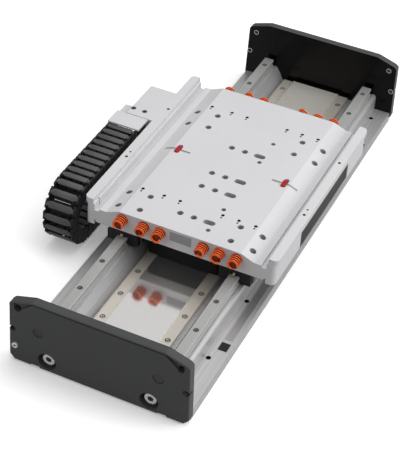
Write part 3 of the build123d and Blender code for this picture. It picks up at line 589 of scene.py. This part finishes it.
def springCoil():
    # wire with a rounded oblong section, wound round the path
    middle = spring["outer"] - spring["wide"] / 2
    rings = []
    for angle, height in springPath():
        ring = []
        for around in ringAngles(spring["round"]):
            out, rise = (math.copysign(abs(part) ** spring["squareness"], part) * spring[size] / 2
                         for part, size in ((math.cos(around), "wide"), (math.sin(around), "high")))
            ring.append(((middle + out) * math.cos(angle), (middle + out) * math.sin(angle), height + rise))
        rings.append(ring)
    return loftRings(rings)


def springMarks(faceCount):
    # the flanks between the turns get a painted shade, the rim and the two end turns keep the bright paint
    marks, endTurn = [0] * faceCount, int(spring["brightTurn"] * spring["steps"]) * spring["round"]
    for face in range(endTurn, faceCount - endTurn):
        middle = 2 * math.pi * (face % spring["round"] + 0.5) / spring["round"]
        marks[face] = int(math.cos(middle) < spring["brightRim"])
    return marks


def makeSprings():
    points, faces = springCoil()
    marks = springMarks(len(faces))
    random.seed(spring["seed"])
    for word, (end, facing) in spring["ends"].items():
        shape = Shape()
        for x in spring["xs"]:
            twist = Matrix.Rotation(random.uniform(0, 2 * math.pi), 4, "Z")
            place = Matrix.Translation((x, end - facing * spring["sunk"], spring["level"])) @ turnTo(facing)
            shape.add(points, faces, place @ twist, marks)
        addPiece(shape, f"bufferSprings{word.capitalize()}", ["springPaint", "springPaintedShade"], "carriage",
                 (f"springs_{word}",))


makeSprings()
print("springs wound")


# screws and rings

screwRows = {"middle": 3.0, "track": (14, 50.0), "rail": (12, 60.0)}
trackScrew = {"x": 46.8, "seat": 20.4, "radius": 2.7, "height": 3.7, "socket": 1.35, "edge": 0.3,
              "shade": 3.88, "shadeHeight": 3.75}
railScrew = {"x": 82.5, "seat": 48.7, "radius": 2.9, "height": 4.4, "socket": 1.6, "shade": 3.78,
             "shadeHeight": 4.3}
capBolt = {"x": 71.0, "z": 18.0, "seats": ((-362.5, -1), (362.5, 1)), "radius": 8.7, "height": 5.8,
           "socket": 4.4, "edge": 0.9, "deep": 0.75}
groundScrew = {"place": (-115.8, -372.5, 28.3), "radius": 4.2, "height": 3.0, "socket": 1.9, "edge": 0.7}
bracketScrew = {"places": ((-178.0, 65.0), (-160.0, 65.0)), "seat": 98.1, "radius": 3.5, "height": 2.2,
                "socket": 1.6}
bossRing = {"places": ((111.2, 90.2), (119.5, 54.5)), "ends": ((-360.0, 1), (360.0, -1)), "outer": 3.9,
            "inner": 3.1, "thick": 0.35, "edge": 0.1}


def screwRow(name):
    count, step = screwRows[name]
    return [screwRows["middle"] + (i - (count - 1) / 2) * step for i in range(count)]


def setHead(shape, screw, place):
    # a socket head on its seat, with a painted shade in the socket, turned at random as screws end up when they
    # are driven home
    edge, deep = screw.get("edge", headShape["edge"]), screw.get("deep", headShape["deep"])
    turned = place @ Matrix.Rotation(random.uniform(0, math.pi), 4, "Z")
    shape.add(*socketHead(screw["radius"], screw["height"], screw["socket"], edge, deep), turned)
    floor, reach = screw["height"] * (1 - deep) + headShape["floorGap"], screw["socket"] - headShape["play"]
    fill = [hexagon(reach, height) for height in (floor, screw["height"] - headShape["shade"])]
    shape.add(*loftRings(fill), turned, 1)


def setShaded(shape, screw, place):
    # a head with a painted shade ring in the counterbore round it
    inner = screw["radius"] + headShape["ringPlay"]
    shape.add(*washer(screw["shade"], inner, screw["shadeHeight"]), place, 1)
    setHead(shape, screw, place)


def makeScrews():
    random.seed(headShape["seed"])
    shape = Shape()
    for side in (-1, 1):
        for y in screwRow("track"):
            setShaded(shape, trackScrew, Matrix.Translation((side * trackScrew["x"], y, trackScrew["seat"])))
    addPiece(shape, "trackScrews", ["paleSteel", "paintedShadeDark"], "base", ("magnet_plate_screws",))
    for side, word in ((-1, "left"), (1, "right")):
        shape = Shape()
        for y in screwRow("rail"):
            setShaded(shape, railScrew, Matrix.Translation((side * railScrew["x"], y, railScrew["seat"])))
        addPiece(shape, f"railScrews{word.capitalize()}", ["midSteel", "paintedShadeDark"], "base",
                 (f"rail_screws_{word}",))
    shape = Shape()
    for seat, facing in capBolt["seats"]:
        for side in (-1, 1):
            place = Matrix.Translation((side * capBolt["x"], seat, capBolt["z"])) @ turnTo(facing)
            setHead(shape, capBolt, place)
    addPiece(shape, "capBolts", ["boltSteel", "paintedShadeDark"], "base", ("cap_bolts",))
    shape = Shape()
    setHead(shape, groundScrew, Matrix.Translation(groundScrew["place"]) @ turnTo(-1))
    addPiece(shape, "groundScrew", ["boltSteel", "paintedShadeDark"], "base", ("ground_screw",))
    shape = Shape()
    for x, y in bracketScrew["places"]:
        setHead(shape, bracketScrew, Matrix.Translation((x, y, bracketScrew["seat"])))
    addPiece(shape, "bracketScrews", ["darkSteel", "paintedShadeDark"], "carriage", ("chain_bracket_screws",))


makeScrews()


def makeBossRings():
    shape = Shape()
    points, faces = washer(bossRing["outer"], bossRing["inner"], bossRing["thick"], bossRing["edge"])
    for end, facing in bossRing["ends"]:
        for x, z in bossRing["places"]:
            for side in (-1, 1):
                shape.add(points, faces, Matrix.Translation((side * x, end, z)) @ turnTo(facing))
    addPiece(shape, "bossRings", ["boltSteel"], "base", ())


makeBossRings()
print("screws and rings set")


# threads in the small holes of the carriage, darkened walls in the wide ones, the floors of the clips' pockets
# and the label; the dark threads, walls and floors are painted shade

payload = {"ys": (-89.4, 133.3), "dotBefore": 5.5}
holes = {
    "payload": {"places": [(x, y) for x in spring["xs"] for y in payload["ys"]],
                "top": 94.0, "radius": 2.49, "depth": 11.9, "pitch": 0.9},
    "payloadDot": {"places": [(x, y - payload["dotBefore"]) for x in spring["xs"] for y in payload["ys"]],
                   "top": 94.0, "radius": 1.49, "depth": 3.9, "pitch": 0.6},
    "wing": {"places": [(x, y) for x in (-133.0, 133.0) for y in (-43.5, 87.5)],
             "top": 100.5, "radius": 2.19, "depth": 9.9, "pitch": 0.8},
    "wingDot": {"places": [(-133.0, -31.5), (133.0, -31.5)],
                "top": 100.5, "radius": 1.59, "depth": 9.9, "pitch": 0.6},
}
thread = {"ridgeShare": 0.13, "mouth": 0.35, "mouthStep": 0.05, "rootStep": 0.06, "endRoom": 0.8, "floor": 0.2}
plateTop = {"level": 94.0, "flatHalf": 88.5, "shelf": 108.0, "drop": 8.0}
blockBolts = {"x": 82.5, "ys": (-116.5, 99.5), "half": 16}
coilYs = [-112.2 + step * 33.4 for step in (0, 2, 3, 5)]
bores = {
    "blocks": {"places": [(side * blockBolts["x"] + i * blockBolts["half"], y + j * blockBolts["half"])
                          for side in (-1, 1) for y in blockBolts["ys"] for i in (-1, 1) for j in (-1, 1)],
               "radius": 4.48, "low": 77.2, "open": True},
    "coil": {"places": [(x, y) for x in (-16.5, 3.6) for y in coilYs],
             "radius": 4.48, "low": 77.2, "open": True},
    "slots": {"places": [(26.2, y) for y in coilYs], "radius": 4.48, "reach": 4.0, "low": 82.03},
    "tapped": {"places": [(31.4, y) for y in (-127.1, -77.9, 42.1, 91.3)], "radius": 3.28, "low": 78.1},
}
boreShadeLiner = {"thick": 0.15, "below": 0.3, "count": 28}
flangeBore = {"x": 102.0, "ys": (-267, -147, -27, 93, 213, 333), "radius": 3.48, "low": 0.4, "top": 14.8}
label = {"x": (-13.0, 18.0), "z": (75.5, 90.0), "y": -149.5, "thick": 0.3, "gap": 0.01, "edge": 0.1}
clipSeat = {"x": 81.0, "y": 15.75, "length": 20.4, "width": 7.4, "floor": 91.0, "gap": 0.02, "thick": 0.12,
            "corner": 12}


def threadLiner(radius, depth, threadPitch):
    # from the outer bottom up, in over the mouth and down the ridges to the floor
    ridge, mouth = radius * thread["ridgeShare"], thread["mouth"]
    rings = [circle(radius, -depth), circle(radius, -mouth), circle(radius - thread["mouthStep"], -mouth)]
    for i in range(int((depth - mouth - thread["endRoom"]) / threadPitch)):
        level = -mouth - i * threadPitch
        rings.append(circle(radius - ridge, level - threadPitch / 2))
        rings.append(circle(radius - thread["rootStep"], level - threadPitch))
    rings.append(circle(radius - ridge, -depth + thread["floor"]))
    return loftRings(rings)


# black thread liners: painted shade in the small holes
def makeThreads():
    shape = Shape()
    for hole in holes.values():
        points, faces = threadLiner(hole["radius"], hole["depth"], hole["pitch"])
        for x, y in hole["places"]:
            shape.add(points, faces, Matrix.Translation((x, y, hole["top"])))
    addPiece(shape, "holeThreads", ["paintedShadeDark"], "carriage", ())


def stadiumRing(x, y, radius, reach, height, count):
    # a circle drawn out by the same reach to both sides along X, at a height given for each place
    ring = []
    for i in range(count):
        angle = 2 * math.pi * (i + 0.5) / count
        px = x + radius * math.cos(angle) + math.copysign(reach, math.cos(angle))
        ring.append((px, y + radius * math.sin(angle), height(px)))
    return ring


def plateSurface(x):
    fall = (abs(x) - plateTop["flatHalf"]) / (plateTop["shelf"] - plateTop["flatHalf"])
    return plateTop["level"] - plateTop["drop"] * min(1.0, max(0.0, fall))


def lineBore(shape, x, y, radius, reach, low, topAt, isOpen):
    # an open sleeve, or a cup with a floor
    count, inner = boreShadeLiner["count"], radius - boreShadeLiner["thick"]
    steps = [(inner, lambda px: low), (radius, lambda px: low), (radius, topAt), (inner, topAt)]
    if not isOpen:
        steps = steps[1:] + [(inner, lambda px: low + boreShadeLiner["thick"])]
    rings = [stadiumRing(x, y, size, reach, height, count) for size, height in steps]
    shape.add(*loftRings(rings, isOpen))


def plateMouth(x):
    return plateSurface(x) - boreShadeLiner["below"]


def flangeMouth(x):
    return flangeBore["top"]


# painted shade: grey liners darken the carriage's wide bores, black ones the base's flange holes
def makeBores():
    shape = Shape()
    for bore in bores.values():
        for x, y in bore["places"]:
            lineBore(shape, x, y, bore["radius"], bore.get("reach", 0.0), bore["low"], plateMouth,
                     bore.get("open", False))
    addPiece(shape, "plateBores", ["boreShadeLiner"], "carriage", ())
    shape = Shape()
    for side in (-1, 1):
        for y in flangeBore["ys"]:
            lineBore(shape, side * flangeBore["x"], y, flangeBore["radius"], 0.0, flangeBore["low"],
                     flangeMouth, True)
    addPiece(shape, "flangeBores", ["paintedShadeDark"], "base", ())


def makeLabel():
    shape = Shape()
    back = label["y"] - label["gap"]
    shape.add(*softBox(*label["x"], label["y"] - label["thick"], back, *label["z"], label["edge"]))
    addPiece(shape, "plainLabel", ["plainLabel"], "carriage", ())


# black floors in the clips' pockets: painted shade
def makeClipSeats():
    shape = Shape()
    half, reach = clipSeat["width"] / 2, (clipSeat["length"] - clipSeat["width"]) / 2
    outline = []
    for end, first in ((1, 0), (-1, 180)):
        for i in range(clipSeat["corner"] + 1):
            angle = math.radians(first + 180 * i / clipSeat["corner"])
            outline.append((half * math.cos(angle), end * reach + half * math.sin(angle)))
    low, high = clipSeat["floor"] + clipSeat["gap"], clipSeat["floor"] + clipSeat["thick"]
    for side in (-1, 1):
        rings = [[(side * clipSeat["x"] + x, clipSeat["y"] + y, z) for x, y in outline] for z in (low, high)]
        shape.add(*loftRings(rings))
    addPiece(shape, "clipSeats", ["paintedShadeDark"], "carriage", ())


makeThreads()
makeBores()
makeClipSeats()
makeLabel()
print("threads cut, bores lined")


# cable carrier: links on the same path as the solids, an upper and a lower run attached to no body, and the
# bend on a body of its own

carrier = {"x": -173.0, "halfWidth": 23.0, "height": 21.0, "side": 3.6, "radius": 37.0, "level": 49.5,
           "bendY": -121.0, "bendLinks": 8, "upperLinks": 10, "lowerLinks": 11}
sideShape = {"proud": 0.4, "gap": 0.3, "step": 2.2, "lead": 1.6, "brow": 0.5, "tail": 1.2, "heel": 0.9,
             "waist": 0.5, "leanRoom": 0.2, "edge": 0.35}
tongue = {"radius": 3.6, "thick": 1.6, "count": 16, "edge": 0.2}
boss = {"radius": 3.4, "sunk": 0.5, "count": 20, "edge": 0.25}
bar = {"half": 4.7, "high": 2.3, "sunk": 0.1, "endRoom": 2.4, "edge": 0.5}
barLug = {"back": 2.6, "out": 1.6, "shorter": 1.7, "thinner": 0.15, "edge": 0.3}
shadeWeb = {"half": 0.6, "endRoom": 0.25, "sideRoom": 0.2, "edge": 0.3}
divider = {"xs": (-6.5, 7.5), "half": 0.8, "reach": 2.6, "room": 2.4, "edge": 0.3}
tab = {"xs": (-12.0, -1.0, 13.0), "half": 1.5, "endRoom": 1.2, "under": (3.6, 2.6), "edge": 0.25}
catch = {"wide": 1.8, "reach": 3.4, "under": (4.4, 2.5), "edge": 0.3}
halfLink = math.radians(90.0 / carrier["bendLinks"])  # half the angle that a link of the bend takes
pitch = 2 * carrier["radius"] * math.sin(halfLink)


def linkPlace(index):
    x, bendY, level, radius = (carrier[key] for key in ("x", "bendY", "level", "radius"))
    if index < 0:
        return Matrix.Translation((x, bendY - (index + 0.5) * pitch, level + radius))
    if index >= carrier["bendLinks"]:
        along = (index - carrier["bendLinks"] + 0.5) * pitch
        return Matrix.Translation((x, bendY + along, level - radius)) @ Matrix.Rotation(math.pi, 4, "X")
    angle = math.radians((index + 0.5) * 180.0 / carrier["bendLinks"])
    out = Matrix.Translation((0, 0, radius * math.cos(halfLink)))
    return Matrix.Translation((x, bendY, level)) @ Matrix.Rotation(angle, 4, "X") @ out


def plateAcross(outline, x0, x1, edge):
    # an outline in Y and Z, drawn along X with bevelled rims
    def ring(x, inset):
        middle = Vector((sum(y for y, z in outline) / len(outline), sum(z for y, z in outline) / len(outline)))
        points = []
        for y, z in outline:
            away = Vector((y, z)) - middle
            away *= max(0.0, 1 - inset / away.length)
            points.append((x, middle[0] + away[0], middle[1] + away[1]))
        return points
    step = math.copysign(edge, x1 - x0)
    points, faces = loftRings([ring(x0, edge), ring(x0 + step, 0), ring(x1 - step, 0), ring(x1, edge)])
    if x1 < x0:
        faces = [tuple(reversed(face)) for face in faces]
    return points, faces


def disc(y, radius, count):
    return [(y + radius * math.cos(angle), radius * math.sin(angle)) for angle in ringAngles(count)]


def linkSide(side):
    # the side plate, the tongue that reaches into the next link and the boss of the pivot
    half, top = pitch / 2, carrier["height"] / 2
    outer = side * (carrier["halfWidth"] - sideShape["proud"])
    inner = side * (carrier["halfWidth"] - carrier["side"])
    end, lean = half - sideShape["gap"], half - top * math.tan(halfLink) - sideShape["leanRoom"]
    outline = [(-end, sideShape["waist"]), (-lean, -top), (lean, -top), (end, sideShape["waist"]),
               (end, top - sideShape["heel"]), (half - sideShape["tail"], top),
               (sideShape["lead"] - half, top - sideShape["brow"]), (-end, top - sideShape["step"])]
    tongueIn = inner - side * tongue["thick"]
    bossIn, bossOut = outer - side * boss["sunk"], outer + side * sideShape["proud"]
    return [
        plateAcross(outline, inner, outer, sideShape["edge"]),
        plateAcross(disc(half, tongue["radius"], tongue["count"]), tongueIn, inner, tongue["edge"]),
        plateAcross(disc(-half, boss["radius"], boss["count"]), bossIn, bossOut, boss["edge"]),
    ]


def linkBars():
    # upper and lower crossbar, each with a lug at both ends
    reach, top, half = carrier["halfWidth"] - carrier["side"], carrier["height"] / 2, bar["half"]
    parts = []
    for low in (top - bar["high"] - bar["sunk"], bar["sunk"] - top):
        end, high = reach - bar["endRoom"], low + bar["high"]
        parts.append(softBox(-end, end, -half, half, low, high, bar["edge"]))
        for side in (-1, 1):
            x0, x1 = sorted((side * (reach - barLug["back"]), side * (reach + barLug["out"])))
            width, thin = half - barLug["shorter"], barLug["thinner"]
            parts.append(softBox(x0, x1, -width, width, low + thin, high - thin, barLug["edge"]))
    return parts


def linkInsides():
    # two upright dividers, a middle shade web that is a black sheet across the link as painted shade for its
    # dark inside, tabs under the upper bar and the catches that hold the bars
    reach, top, half = carrier["halfWidth"] - carrier["side"], carrier["height"] / 2, pitch / 2
    long, tall = divider["reach"], top - divider["room"]
    parts = [softBox(x - divider["half"], x + divider["half"], -long, long, -tall, tall, divider["edge"])
             for x in divider["xs"]]
    wide, long = reach - shadeWeb["sideRoom"], half - shadeWeb["endRoom"]
    parts.append(softBox(-wide, wide, -long, long, -shadeWeb["half"], shadeWeb["half"], shadeWeb["edge"]))
    long = half - tab["endRoom"]
    low, high = (top - under for under in tab["under"])
    for x in tab["xs"]:
        parts.append(softBox(x - tab["half"], x + tab["half"], -long, long, low, high, tab["edge"]))
    low, high = (top - under for under in catch["under"])
    for side in (-1, 1):
        x0, x1 = sorted((side * (reach - catch["wide"]), side * reach))
        parts.append(softBox(x0, x1, -catch["reach"], catch["reach"], low, high, catch["edge"]))
    return parts


def makeRun(name, first, last, body, stands):
    shape = Shape()
    blackParts = linkSide(-1) + linkSide(1) + linkInsides()
    greyParts = linkBars()
    for index in range(first, last):
        for parts, mark in ((blackParts, 0), (greyParts, 1)):
            for points, faces in parts:
                shape.add(points, faces, linkPlace(index), mark)
    return addPiece(shape, name, ["blackPlastic", "greyPlastic"], body, stands)


def spreadRun(obj):
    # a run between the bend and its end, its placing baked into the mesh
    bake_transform(obj)


def makeCarrier():
    bend, upper, lower = carrier["bendLinks"], carrier["upperLinks"], carrier["lowerLinks"]
    run = makeRun("carrierUpperRun", -upper, 0, None, ("chain_upper_sides", "chain_upper_bars"))
    spreadRun(run)
    makeRun("carrierBend", 0, bend, "carrier_bend", ("chain_bend_sides", "chain_bend_bars"))
    run = makeRun("carrierLowerRun", bend, bend + lower, None, ("chain_lower_sides", "chain_lower_bars"))
    spreadRun(run)


makeCarrier()
print("cable carrier linked")
